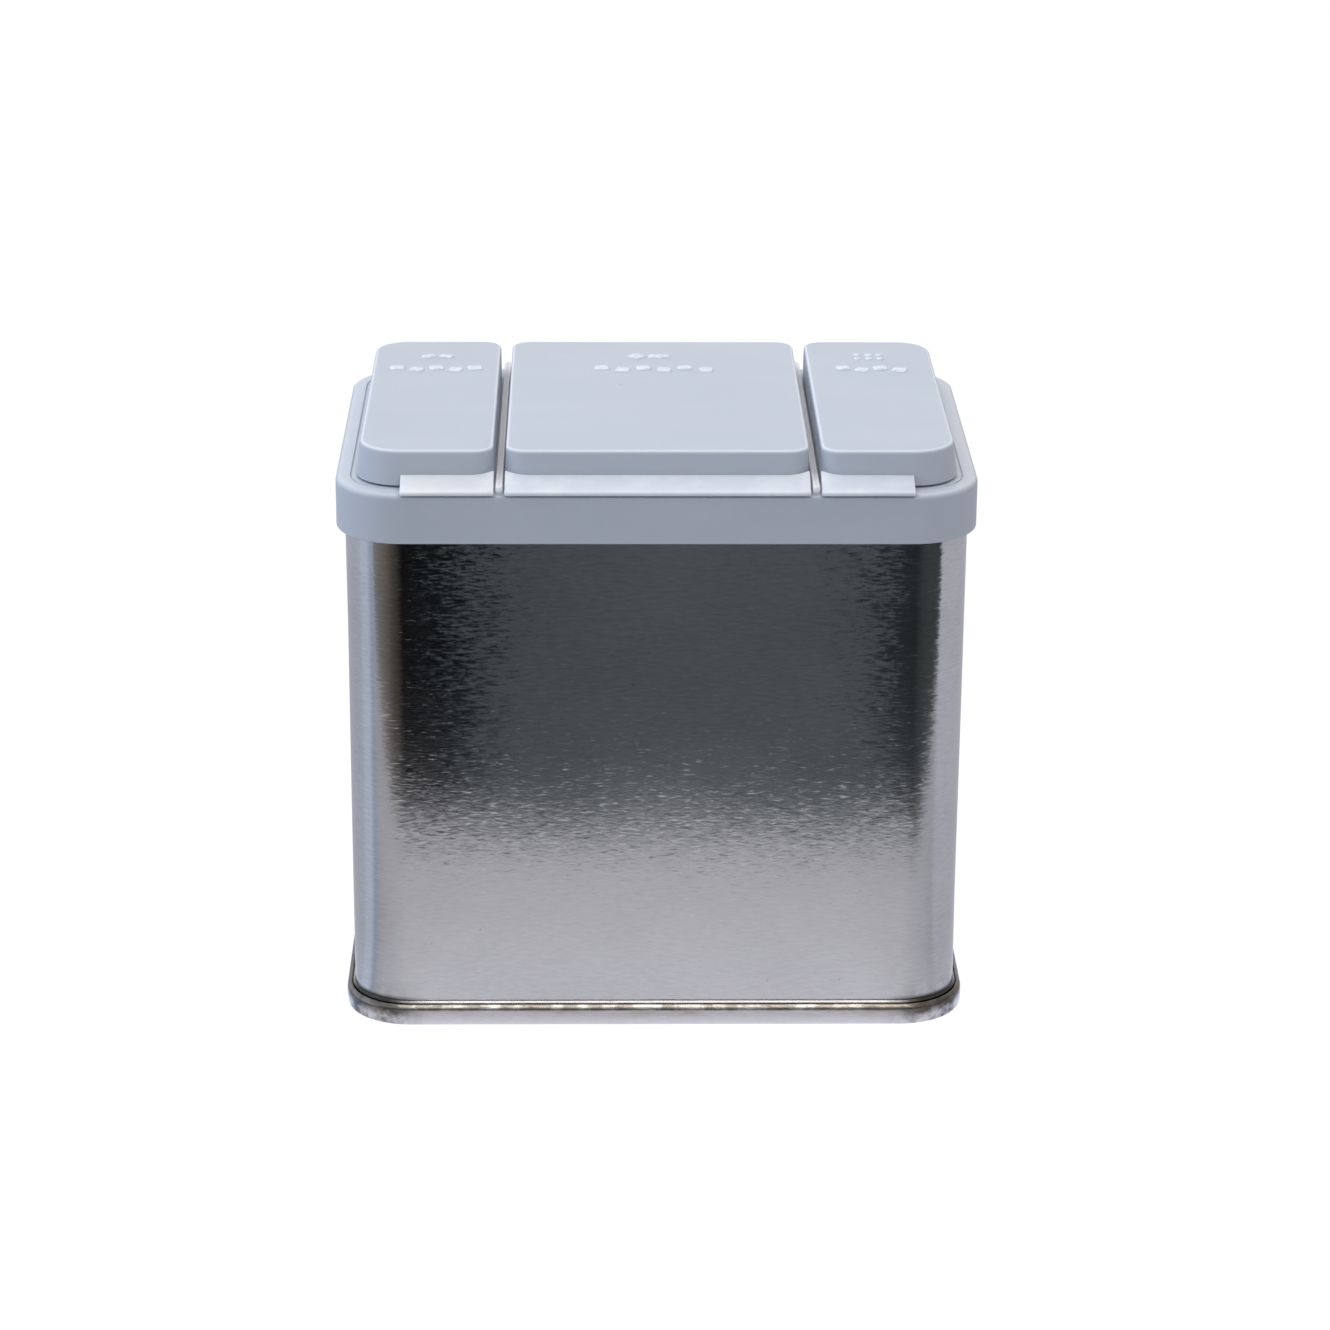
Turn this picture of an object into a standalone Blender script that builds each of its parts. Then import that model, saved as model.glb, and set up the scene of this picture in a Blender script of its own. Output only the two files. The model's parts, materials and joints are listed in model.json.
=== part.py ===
"""A squat rectangular spice tin: a drawn-up tinplate body with a double-seamed bottom end, and a
press-on plastic cap whose three flaps (pour, spoon, sift) swing up on hinge leaves along one long side.

Metres, +Z up. The origin is the centre of the base. The hinge side faces -Y, the thumb side +Y.
"""

import math

import bmesh
import bpy
from mathutils import Matrix

MM = 0.001

# ---- driving dimensions -------------------------------------------------------------------------
CAP_WIDTH = 94.0 * MM
CAP_DEPTH = 66.0 * MM
CAP_CORNER = 10.0 * MM
RIM_TOP = 84.1 * MM            # the land round the flaps
SKIRT_HEIGHT = 7.5 * MM
SKIRT_WALL = 1.0 * MM
DECK = 1.4 * MM                # thickness of the cap's deck
FLAP_TOP = 89.6 * MM
SHEET = 0.3 * MM               # tinplate
GAP = 0.3 * MM                 # between pieces that touch
SEAM_HEIGHT = 3.2 * MM
SEAM_PROUD = 1.3 * MM          # how far the bottom seam stands out of the body wall
PLUG_BOTTOM = 78.6 * MM        # lower edge of the wall that plugs the tin's mouth
PLUG_WALL = 1.0 * MM

FLAP_FRONT = -29.0 * MM        # top edge of the flaps on the hinge side
FLAP_REAR = 29.2 * MM
FLAP_OUTER = 43.3 * MM         # outer sides of the two small flaps
SPOON_HALF = 22.0 * MM
FLAP_SPACE = 1.8 * MM          # between neighbouring flaps, at their tops
SIDE_DRAFT = 0.7 * MM          # how far a wall leans out on its way down, on the outer sides
RIB_DRAFT = 0.1 * MM           # towards a divider rib
HINGE_DRAFT = 0.6 * MM         # on the hinge side
REAR_DRAFT = 0.3 * MM
FLAP_WALL = 1.1 * MM
FLAP_ROOF = 1.2 * MM
FRONT_CORNER = 6.2 * MM        # outer corners of the small flaps, hinge side
REAR_CORNER = 5.0 * MM
INNER_CORNER = 2.8 * MM        # corners beside a divider rib

HINGE_Y = -32.95 * MM
HINGE_Z = 84.35 * MM
BARREL = 0.4 * MM
LEAF = 0.5 * MM                # thickness of a hinge leaf
LEAF_RISE = 1.2 * MM           # the leaf climbs this much from its barrel to the flap

RIB_HALF = 0.5 * MM            # half the width of a divider rib
RIB_RISE = 1.2 * MM            # how far the ribs stand above the land
HOLE_CORNER = 4.0 * MM
SIFT_HOLE = 1.5 * MM           # radius
SIFT_PITCH = 5.0 * MM
SEAL_DEPTH = 0.8 * MM          # how far the seal rings reach into the pour and spoon openings
SEAL_WALL = 0.9 * MM
SEAL_SLIP = 0.35 * MM          # between a seal ring and its opening
MARK_RISE = 0.3 * MM           # raised marks on the flaps
MARK_ROW_Y = 13.2 * MM         # middle of the lower row of marks
MARK_STAGGER = 0.5 * MM        # the row's blocks lie this far before or behind its middle, by turns
ICON_Y = 20.1 * MM

CORNER_STEPS = 8               # faces round a quarter turn of the cap's and the tin's corners
SMALL_CORNER_STEPS = 4

# ---- what follows from them ---------------------------------------------------------------------
BODY_INSET = SKIRT_WALL + GAP
TIN_TOP = RIM_TOP - DECK - GAP
SEAM_FLOOR = SHEET + 0.05 * MM
FLAP_BASE = RIM_TOP + GAP
SMALL_INNER = SPOON_HALF + FLAP_SPACE
SMALL_CENTRE = (FLAP_OUTER + SMALL_INNER) / 2
RIB_X = SPOON_HALF + FLAP_SPACE / 2

CAP_PLAN = (-CAP_WIDTH / 2, CAP_WIDTH / 2, -CAP_DEPTH / 2, CAP_DEPTH / 2)
POUR_PLAN = (-FLAP_OUTER, -SMALL_INNER, FLAP_FRONT, FLAP_REAR)
SPOON_PLAN = (-SPOON_HALF, SPOON_HALF, FLAP_FRONT, FLAP_REAR)
SIFT_PLAN = (SMALL_INNER, FLAP_OUTER, FLAP_FRONT, FLAP_REAR)

POUR_HOLE = (-SMALL_CENTRE - 7.5 * MM, -SMALL_CENTRE + 7.5 * MM, -16.0 * MM, 20.0 * MM)
SPOON_HOLE = (-18.5 * MM, 18.5 * MM, -22.0 * MM, 22.0 * MM)
SIFT_FIELD = (SMALL_CENTRE - 7.5 * MM, SMALL_CENTRE + 7.5 * MM, -17.0 * MM, 15.0 * MM)

BODY_PLAN = (
    CAP_PLAN[0] + BODY_INSET, CAP_PLAN[1] - BODY_INSET,
    CAP_PLAN[2] + BODY_INSET, CAP_PLAN[3] - BODY_INSET,
)
BODY_CORNERS = [CAP_CORNER - BODY_INSET] * 4

# Each leaf's ends along X, and each flap's thumb lip as its middle and half its length.
LEAF_SPANS = {
    "pour_hinge_leaf": (-37.2 * MM, -23.7 * MM),
    "spoon_hinge_leaf": (-22.1 * MM, 22.1 * MM),
    "sift_hinge_leaf": (23.7 * MM, 37.2 * MM),
}
LIPS = {
    "pour_flap": (-SMALL_CENTRE, 5.0 * MM),
    "spoon_flap": (0.0, 12.0 * MM),
    "sift_flap": (SMALL_CENTRE, 5.0 * MM),
}


# ---- scene and small helpers --------------------------------------------------------------------
def clear_scene():
    for old in list(bpy.data.objects):
        bpy.data.objects.remove(old, do_unlink=True)


def new_collection(name):
    made = bpy.data.collections.new(name)
    bpy.context.scene.collection.children.link(made)
    return made


def principled(name, colour, roughness, metallic=0.0):
    material = bpy.data.materials.new(name)
    material.use_nodes = True
    shader = material.node_tree.nodes["Principled BSDF"]
    shader.inputs["Base Color"].default_value = (*colour, 1.0)
    shader.inputs["Roughness"].default_value = roughness
    shader.inputs["Metallic"].default_value = metallic
    return material


def add_object(name, bm, collection, material=None):
    """Turns a bmesh into an object, with its faces pointing out."""
    bmesh.ops.recalc_face_normals(bm, faces=bm.faces[:])
    mesh = bpy.data.meshes.new(name)
    bm.to_mesh(mesh)
    bm.free()
    obj = bpy.data.objects.new(name, mesh)
    collection.objects.link(obj)
    if material is not None:
        mesh.materials.append(material)
    if collection is HELPERS:
        obj.hide_render = True
        obj.display_type = "WIRE"
    return obj


def boolean(obj, helper, operation):
    modifier = obj.modifiers.new(f"{operation.lower()}_{helper.name}", "BOOLEAN")
    modifier.operation = operation
    modifier.object = helper
    modifier.solver = "EXACT"


def empty_at(name, location, parent=None):
    empty = bpy.data.objects.new(name, None)
    empty.empty_display_size = 5 * MM
    empty.location = location
    PARTS.objects.link(empty)
    bpy.context.view_layer.update()
    if parent is not None:
        hang_on(empty, parent)
    return empty


def hang_on(obj, parent):
    """Parents obj and leaves it where it is."""
    obj.parent = parent
    obj.matrix_parent_inverse = parent.matrix_world.inverted()
    bpy.context.view_layer.update()


# ---- rounded rectangles, and lofts through them -------------------------------------------------
def grown(plan, by):
    """The rectangle (x0, x1, y0, y1) with its sides moved out, all alike or each by its own amount."""
    left, right, front, rear = by if isinstance(by, tuple) else (by,) * 4
    x0, x1, y0, y1 = plan
    return (x0 - left, x1 + right, y0 - front, y1 + rear)


def rounded_outline(plan, corners, grow, steps):
    """Points round a rectangle, anticlockwise from its -X -Y corner. corners holds a radius for each
    corner in that order, and grow moves the sides out, which rounds the corners by as much."""
    x0, x1, y0, y1 = grown(plan, grow)
    left, right, front, rear = grow if isinstance(grow, tuple) else (grow,) * 4
    points = []
    places = (
        (x0, y0, 180, (left + front) / 2), (x1, y0, 270, (right + front) / 2),
        (x1, y1, 0, (right + rear) / 2), (x0, y1, 90, (left + rear) / 2),
    )
    for (x, y, start, more), corner in zip(places, corners):
        radius = max(corner + more, 0.4 * MM)
        cx = x + math.copysign(radius, (x0 + x1) / 2 - x)
        cy = y + math.copysign(radius, (y0 + y1) / 2 - y)
        for step in range(steps + 1):
            angle = math.radians(start + 90 * step / steps)
            points.append((cx + radius * math.cos(angle), cy + radius * math.sin(angle)))
    return points


def loft(plan, corners, profile, steps, ring_closed=False):
    """A solid through rounded rectangles: one ring for each (grow, z) of the profile. The first and
    last rings are filled, or joined to each other when the profile is a closed section."""
    bm = bmesh.new()
    rings = []
    for grow, z in profile:
        outline = rounded_outline(plan, corners, grow, steps)
        rings.append([bm.verts.new((x, y, z)) for x, y in outline])
    pairs = list(zip(rings, rings[1:]))
    if ring_closed:
        pairs.append((rings[-1], rings[0]))
    else:
        bm.faces.new(rings[0])
        bm.faces.new(rings[-1])
    for ring, following in pairs:
        count = len(ring)
        for i in range(count):
            j = (i + 1) % count
            bm.faces.new((ring[i], ring[j], following[j], following[i]))
    return bm


def box(x0, x1, y0, y1, z0, z1, turn=0.0):
    """A block, turned by turn degrees about its own upright axis."""
    bm = bmesh.new()
    bmesh.ops.create_cube(bm, size=1.0)
    bmesh.ops.scale(bm, vec=(x1 - x0, y1 - y0, z1 - z0), verts=bm.verts)
    turned = Matrix.Rotation(math.radians(turn), 3, "Z")
    bmesh.ops.rotate(bm, cent=(0, 0, 0), matrix=turned, verts=bm.verts)
    middle = ((x0 + x1) / 2, (y0 + y1) / 2, (z0 + z1) / 2)
    bmesh.ops.translate(bm, vec=middle, verts=bm.verts)
    return bm


def merge(target, source):
    """Adds the mesh of source to target, as a separate body."""
    mesh = bpy.data.meshes.new("scratch")
    source.to_mesh(mesh)
    source.free()
    target.from_mesh(mesh)
    bpy.data.meshes.remove(mesh)


# ---- the tin ------------------------------------------------------------------------------------
def make_body_shell():
    """Tinplate sleeve: flared foot inside the bottom seam, folded hem at the mouth."""
    foot = SEAM_FLOOR + GAP
    hem = TIN_TOP - 2.5 * MM
    profile = [
        (0.0, foot + 0.6 * MM),
        (0.0, TIN_TOP - 0.2 * MM),
        (-0.15 * MM, TIN_TOP),
        (-2 * SHEET + 0.15 * MM, TIN_TOP),
        (-2 * SHEET, TIN_TOP - 0.2 * MM),
        (-2 * SHEET, hem),
        (-SHEET, hem - 0.1 * MM),
        (-SHEET, foot),
        (0.4 * MM, foot),
        (0.4 * MM, foot + SHEET),
    ]
    bm = loft(BODY_PLAN, BODY_CORNERS, profile, CORNER_STEPS, ring_closed=True)
    shell = add_object("body_shell", bm, PARTS, TINPLATE)
    wall = BODY_PLAN[1] - SHEET
    fold = box(wall - 0.5 * MM, wall + 0.1 * MM, 10 * MM, 14.5 * MM, 6 * MM, 77 * MM)
    boolean(shell, add_object("side_seam_fold", fold, HELPERS), "UNION")
    return shell


def make_bottom_end():
    """The stamped end: countersunk panel, and the seam that wraps the body's foot."""
    well = -2 * GAP            # outer side of the countersink wall
    outside = SEAM_PROUD
    inside = SEAM_PROUD - SHEET
    lip = SEAM_HEIGHT - SHEET
    panel = 4.0 * MM
    step = 8.4 * MM
    raised = 0.5 * MM
    profile = [
        (-step - 0.6 * MM, panel + raised),
        (-step, panel),
        (well - 0.3 * MM, panel),
        (well, panel - 0.3 * MM),
        (well, SEAM_FLOOR),
        (inside, SEAM_FLOOR),
        (inside, lip),
        (GAP, lip),
        (GAP, SEAM_HEIGHT - 0.05 * MM),
        (outside - 0.25 * MM, SEAM_HEIGHT),
        (outside, SEAM_HEIGHT - 0.25 * MM),
        (outside, 0.3 * MM),
        (outside - 0.3 * MM, 0.0),
        (well, 0.0),
        (well - SHEET, 0.3 * MM),
        (well - SHEET, panel - 0.3 * MM - 0.2 * MM),
        (well - SHEET - 0.2 * MM, panel - SHEET),
        (-step, panel - SHEET),
        (-step - 0.6 * MM, panel + raised - SHEET),
    ]
    bm = loft(BODY_PLAN, BODY_CORNERS, profile, CORNER_STEPS)
    return add_object("bottom_end", bm, PARTS, TINPLATE)


# ---- the cap's fixed frame ----------------------------------------------------------------------
def make_cap_frame():
    """Skirt, deck and plug wall in one moulding, with the openings under the flaps."""
    skirt_bottom = RIM_TOP - SKIRT_HEIGHT
    ceiling = RIM_TOP - DECK
    plug = -(BODY_INSET + 3 * SHEET)
    profile = [
        (-1.2 * MM, RIM_TOP),
        (-0.4 * MM, RIM_TOP),
        (-0.1 * MM, RIM_TOP - 0.1 * MM),
        (0.0, RIM_TOP - 0.4 * MM),
        (0.0, skirt_bottom + 0.3 * MM),
        (-0.25 * MM, skirt_bottom),
        (-SKIRT_WALL, skirt_bottom),
        (-SKIRT_WALL, ceiling),
        (plug, ceiling),
        (plug, PLUG_BOTTOM + 0.4 * MM),
        (plug - 0.3 * MM, PLUG_BOTTOM),
        (plug - PLUG_WALL, PLUG_BOTTOM),
        (plug - PLUG_WALL, ceiling),
    ]
    bm = loft(CAP_PLAN, [CAP_CORNER] * 4, profile, CORNER_STEPS)
    frame = add_object("cap_frame", bm, PARTS, CAP_PLASTIC)
    boolean(frame, divider_ribs(), "UNION")
    boolean(frame, deck_openings(), "DIFFERENCE")
    boolean(frame, hinge_notches(), "DIFFERENCE")
    boolean(frame, thumb_recesses(), "DIFFERENCE")
    return frame


def divider_ribs():
    """The two raised ribs on the deck, one in each space between flaps."""
    ends = CAP_DEPTH / 2 - 0.25 * MM
    bm = bmesh.new()
    for x in (-RIB_X, RIB_X):
        merge(bm, box(x - RIB_HALF, x + RIB_HALF, -ends, ends, RIM_TOP - DECK / 2, RIM_TOP + RIB_RISE))
    return add_object("rib_bars", bm, HELPERS)


def deck_openings():
    """Cutters: the pour and spoon openings, and the grid of sifter holes."""
    low, high = RIM_TOP - 2 * DECK, RIM_TOP + DECK
    bm = bmesh.new()
    for plan in (POUR_HOLE, SPOON_HOLE):
        merge(bm, loft(plan, [HOLE_CORNER] * 4, [(0.0, low), (0.0, high)], SMALL_CORNER_STEPS))
    middle_y = (SIFT_FIELD[2] + SIFT_FIELD[3]) / 2
    for column in (-1, 0, 1):
        for row in range(-2, 3):
            hole = bmesh.new()
            bmesh.ops.create_cone(
                hole, cap_ends=True, segments=10, radius1=SIFT_HOLE, radius2=SIFT_HOLE, depth=high - low
            )
            place = (SMALL_CENTRE + column * SIFT_PITCH, middle_y + row * SIFT_PITCH, (low + high) / 2)
            bmesh.ops.translate(hole, vec=place, verts=hole.verts)
            merge(bm, hole)
    return add_object("opening_cutters", bm, HELPERS)


def hinge_notches():
    """Cutters: the round-bottomed notch in the land that each leaf's barrel turns in."""
    reach = BARREL + 0.55 * MM
    bm = bmesh.new()
    for x0, x1 in LEAF_SPANS.values():
        length = x1 - x0 + 2 * GAP
        notch = bmesh.new()
        bmesh.ops.create_cone(notch, cap_ends=True, segments=16, radius1=reach, radius2=reach, depth=length)
        lie_along_x(notch, (x0 + x1) / 2)
        merge(bm, notch)
    return add_object("notch_cutters", bm, HELPERS)


def lie_along_x(bm, x):
    """Lays an upright rod along X, with its middle on the hinge line."""
    bmesh.ops.rotate(bm, cent=(0, 0, 0), matrix=Matrix.Rotation(math.pi / 2, 3, "Y"), verts=bm.verts)
    bmesh.ops.translate(bm, vec=(x, HINGE_Y, HINGE_Z), verts=bm.verts)


def thumb_recesses():
    """Cutters: a nail recess in the land under the lip of each flap."""
    bm = bmesh.new()
    for middle, half in LIPS.values():
        wide = half + 1.5 * MM
        rear = CAP_DEPTH / 2
        merge(bm, box(middle - wide, middle + wide, rear - 1.1 * MM, rear + 1.0 * MM,
                      RIM_TOP - 0.9 * MM, RIM_TOP + 0.5 * MM))
    return add_object("recess_cutters", bm, HELPERS)


# ---- the flaps ----------------------------------------------------------------------------------
def make_flap(name, plan, corners, draft, seal, seal_bottom, marks):
    """A hollow flap open underneath, with a seal ring, a thumb lip and raised marks. draft is how far
    each wall leans out at the base, in the order of the plan."""
    roof = FLAP_TOP - FLAP_ROOF
    profile = [
        (-0.9 * MM, FLAP_TOP),
        (-0.4 * MM, FLAP_TOP - 0.12 * MM),
        (-0.1 * MM, FLAP_TOP - 0.4 * MM),
        (0.0, FLAP_TOP - 0.9 * MM),
        (draft, FLAP_BASE),
        (tuple(side - FLAP_WALL for side in draft), FLAP_BASE),
        (-FLAP_WALL, roof - 0.2 * MM),
        (-FLAP_WALL - 0.2 * MM, roof),
    ]
    flap = add_object(name, loft(plan, corners, profile, SMALL_CORNER_STEPS), PARTS, CAP_PLASTIC)

    top = roof + 0.1 * MM
    section = [(0.0, seal_bottom), (0.0, top), (-SEAL_WALL, top), (-SEAL_WALL, seal_bottom)]
    ring = loft(seal, [HOLE_CORNER] * 4, section, SMALL_CORNER_STEPS, ring_closed=True)
    boolean(flap, add_object(f"{name}_seal", ring, HELPERS), "UNION")

    middle, half = LIPS[name]
    lip = box(middle - half, middle + half, FLAP_REAR - 0.4 * MM, CAP_DEPTH / 2 + 0.35 * MM,
              FLAP_BASE, FLAP_BASE + 1.1 * MM)
    boolean(flap, add_object(f"{name}_lip", lip, HELPERS), "UNION")
    boolean(flap, add_object(f"{name}_marks", raised_marks(middle, marks), HELPERS), "UNION")
    return flap


def raised_marks(middle, marks):
    """Plain raised marks on the thumb half: each is (x, y, width, depth, turn) from the flap's middle."""
    bm = bmesh.new()
    for x, y, width, depth, turn in marks:
        x0, y0 = middle + x - width / 2, y - depth / 2
        merge(bm, box(x0, x0 + width, y0, y0 + depth, FLAP_TOP - MARK_RISE, FLAP_TOP + MARK_RISE, turn))
    return bm


def mark_row(count, pitch, turn):
    """A row of short blocks, staggered and turned one way and the other by turns."""
    row = []
    for i in range(count):
        side = -1 if i % 2 else 1
        x = (i - (count - 1) / 2) * pitch
        row.append((x, MARK_ROW_Y + side * MARK_STAGGER, 2.0 * MM, 1.7 * MM, side * turn))
    return row


def pour_marks():
    """A flat chevron over a staggered row."""
    chevron = [(side * 1.35 * MM, ICON_Y, 2.0 * MM, 1.2 * MM, -side * 20) for side in (-1, 1)]
    return chevron + mark_row(5, 3.0 * MM, 12)


def spoon_marks():
    """A bowl and handle, as a turned square and a bar, over a staggered row."""
    bowl = (-2.6 * MM, ICON_Y, 2.0 * MM, 2.0 * MM, 45)
    handle = (0.9 * MM, ICON_Y, 3.2 * MM, 1.2 * MM, 0)
    return [bowl, handle] + mark_row(6, 3.2 * MM, 8)


def sift_marks():
    """Two rows of studs over a staggered row."""
    size = 0.9 * MM
    studs = [(x * 2 * size, ICON_Y + y * size, size, size, 0) for x in (-1, 0, 1) for y in (-1.1, 1.1)]
    return studs + mark_row(4, 2.9 * MM, 12)


# ---- the hinge leaves ---------------------------------------------------------------------------
def make_leaf(name, span):
    """A thin ramp from the barrel on the hinge line up to the flap's wall, one section pushed along X."""
    x0, x1 = span
    run = FLAP_FRONT - HINGE_DRAFT - GAP - HINGE_Y
    slope = math.atan2(LEAF_RISE, run)
    half = LEAF / 2
    rise_y, rise_z = half * math.sin(slope), half * math.cos(slope)
    end_y, end_z = HINGE_Y + run - rise_y, HINGE_Z + LEAF_RISE
    outline = [(end_y + rise_y, end_z - rise_z), (end_y - rise_y, end_z + rise_z)]
    meets = math.asin(half / BARREL)
    steps = 10
    for i in range(steps + 1):
        angle = slope + meets + (2 * math.pi - 2 * meets) * i / steps
        outline.append((HINGE_Y + BARREL * math.cos(angle), HINGE_Z + BARREL * math.sin(angle)))
    bm = bmesh.new()
    near = bm.faces.new([bm.verts.new((x0, y, z)) for y, z in outline])
    pushed = bmesh.ops.extrude_face_region(bm, geom=[near])
    moved = [v for v in pushed["geom"] if isinstance(v, bmesh.types.BMVert)]
    bmesh.ops.translate(bm, vec=(x1 - x0, 0, 0), verts=moved)
    return add_object(name, bm, PARTS, LEAF_PLASTIC)


# ---- the assembly -------------------------------------------------------------------------------
clear_scene()
PARTS = new_collection("spice_tin")
HELPERS = new_collection("helpers")
TINPLATE = principled("tinplate", (0.55, 0.54, 0.53), 0.28, 1.0)
CAP_PLASTIC = principled("cap_plastic", (0.55, 0.60, 0.68), 0.38)
LEAF_PLASTIC = principled("leaf_plastic", (0.68, 0.73, 0.82), 0.22)

make_body_shell()
make_bottom_end()

cap_slide = empty_at("cap_slide", (0, 0, TIN_TOP))
hang_on(make_cap_frame(), cap_slide)

# Each flap: its plan, corner radii, the drafts of its walls, its seal ring's plan and lower edge, marks.
FLAPS = {
    "pour": (POUR_PLAN, (FRONT_CORNER, INNER_CORNER, INNER_CORNER, REAR_CORNER),
             (SIDE_DRAFT, RIB_DRAFT, HINGE_DRAFT, REAR_DRAFT),
             grown(POUR_HOLE, -SEAL_SLIP), RIM_TOP - SEAL_DEPTH, pour_marks()),
    "spoon": (SPOON_PLAN, [INNER_CORNER] * 4,
              (RIB_DRAFT, RIB_DRAFT, HINGE_DRAFT, REAR_DRAFT),
              grown(SPOON_HOLE, -SEAL_SLIP), RIM_TOP - SEAL_DEPTH, spoon_marks()),
    "sift": (SIFT_PLAN, (INNER_CORNER, FRONT_CORNER, REAR_CORNER, INNER_CORNER),
             (RIB_DRAFT, SIDE_DRAFT, HINGE_DRAFT, REAR_DRAFT),
             SIFT_FIELD, FLAP_BASE, sift_marks()),
}
for word, (plan, corners, draft, seal, seal_bottom, marks) in FLAPS.items():
    axis = empty_at(f"{word}_axis", (LIPS[f"{word}_flap"][0], HINGE_Y, HINGE_Z), cap_slide)
    hang_on(make_flap(f"{word}_flap", plan, corners, draft, seal, seal_bottom, marks), axis)
    hang_on(make_leaf(f"{word}_hinge_leaf", LEAF_SPANS[f"{word}_hinge_leaf"]), axis)
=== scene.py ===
import json
import math

import bmesh
import bpy
from mathutils import Matrix, Vector, noise


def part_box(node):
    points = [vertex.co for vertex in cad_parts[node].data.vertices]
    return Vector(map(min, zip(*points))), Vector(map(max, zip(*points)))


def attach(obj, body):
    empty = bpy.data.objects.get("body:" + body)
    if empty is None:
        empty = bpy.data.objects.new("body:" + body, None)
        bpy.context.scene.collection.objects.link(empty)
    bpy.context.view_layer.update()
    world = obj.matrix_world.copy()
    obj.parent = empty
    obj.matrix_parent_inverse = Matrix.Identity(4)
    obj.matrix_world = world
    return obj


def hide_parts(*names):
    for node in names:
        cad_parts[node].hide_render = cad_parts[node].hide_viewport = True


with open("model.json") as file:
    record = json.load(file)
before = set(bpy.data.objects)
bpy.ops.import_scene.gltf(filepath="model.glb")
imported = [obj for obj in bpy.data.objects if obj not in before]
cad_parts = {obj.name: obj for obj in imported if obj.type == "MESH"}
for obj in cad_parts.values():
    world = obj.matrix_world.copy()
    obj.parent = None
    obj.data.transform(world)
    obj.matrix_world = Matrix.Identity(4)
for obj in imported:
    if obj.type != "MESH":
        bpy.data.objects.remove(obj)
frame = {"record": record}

MM = 0.001
TINY = 1e-9
WELD, SHORTEST = 2e-7, 1e-7                    # metres: vertices merged, edges dissolved
SHARP = math.radians(38)                       # edges steeper than this stay sharp
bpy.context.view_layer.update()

# ---- places taken from the frame ----------------------------------------------------------------
JOINTS = {joint["name"]: joint for joint in frame["record"]["behaviour"]["joints"]}
HINGE_Y, HINGE_Z = JOINTS["spoon_hinge"]["pos_m"][1:]
CAP_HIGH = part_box("cap_frame")[1]
WIDE, DEEP = CAP_HIGH[0], CAP_HIGH[1]          # half sizes of the cap
POUR_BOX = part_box("pour_flap")
SPOON_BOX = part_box("spoon_flap")
SIFT_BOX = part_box("sift_flap")

# ---- dimensions of the tin ----------------------------------------------------------------------
GAP = 0.3 * MM                                 # between pieces
SHEET = 0.3 * MM                               # tinplate
BODY_INSET = 1.3 * MM                          # from the skirt's outside in to the body's
CAP_CORNER = 10.0 * MM
BODY_RADIUS = CAP_CORNER - BODY_INSET
BODY_PLAN = (-WIDE + BODY_INSET, WIDE - BODY_INSET, -DEEP + BODY_INSET, DEEP - BODY_INSET)
CORNER_X, CORNER_Y = BODY_PLAN[1] - BODY_RADIUS, BODY_PLAN[3] - BODY_RADIUS
SEAM_HEIGHT, SEAM_PROUD, SEAM_FLOOR = 3.2 * MM, 1.3 * MM, 0.35 * MM
HEM_DEPTH = 2.5 * MM
WALL_FOOT = 4.6 * MM                           # where the wall's even rows of faces start
ROW_LENGTH = 2.2 * MM                          # longest face along a straight wall
OUTER_ROWS, INNER_ROWS = 40, 16
BODY_STEPS, SEAM_STEPS = 20, 30                # faces round each upright corner
PANEL, BEAD = 4.0 * MM, 0.35 * MM              # height of the base panel, depth of its ring bead

# ---- dimensions of the cap ----------------------------------------------------------------------
RIM_TOP = HINGE_Z - 0.25 * MM                  # the land: the cap's flat top round the flaps
SKIRT_BOTTOM = RIM_TOP - 7.5 * MM
PLUG_BOTTOM = SKIRT_BOTTOM + 2.0 * MM
SKIRT_WALL, PLUG_WALL = 1.0 * MM, 1.0 * MM
DECK = 1.4 * MM
TIN_TOP = RIM_TOP - DECK - GAP
RIB_HALF, RIB_RISE = 0.5 * MM, 1.2 * MM
GROOVE_OUT, GROOVE_HALF, GROOVE_DEPTH = 0.75 * MM, 0.14 * MM, 0.26 * MM

FLAP_BASE = RIM_TOP + GAP
MARK_RISE = 0.3 * MM
FLAP_TOP = POUR_BOX[1][2] - MARK_RISE
FLAP_WALL, FLAP_ROOF = 1.1 * MM, 1.2 * MM
SIDE_DRAFT, RIB_DRAFT, HINGE_DRAFT, REAR_DRAFT = 0.7 * MM, 0.1 * MM, 0.6 * MM, 0.3 * MM
FRONT_CORNER, REAR_CORNER, INNER_CORNER = 6.2 * MM, 5.0 * MM, 2.8 * MM
SPOON_HALF = SPOON_BOX[1][0] - RIB_DRAFT
FLAP_FRONT, FLAP_REAR = SPOON_BOX[0][1] + HINGE_DRAFT, 29.2 * MM
FLAP_OUTER = SIFT_BOX[1][0] - SIDE_DRAFT
SMALL_INNER = SIFT_BOX[0][0] + RIB_DRAFT
SMALL_CENTRE = (FLAP_OUTER + SMALL_INNER) / 2
RIB_X = (SPOON_HALF + SMALL_INNER) / 2

HOLE_CORNER = 4.0 * MM
HOLE_HALF = 7.5 * MM
POUR_HOLE = (-SMALL_CENTRE - HOLE_HALF, -SMALL_CENTRE + HOLE_HALF, -16.0 * MM, 20.0 * MM)
SPOON_HOLE = (-18.5 * MM, 18.5 * MM, -22.0 * MM, 22.0 * MM)
SIFT_FIELD = (SMALL_CENTRE - HOLE_HALF, SMALL_CENTRE + HOLE_HALF, -17.0 * MM, 15.0 * MM)
SIFT_RADIUS, SIFT_PITCH = 1.5 * MM, 5.0 * MM
SEAL_SLIP, SEAL_WALL, SEAL_DEPTH = 0.35 * MM, 0.9 * MM, 0.8 * MM

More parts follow.
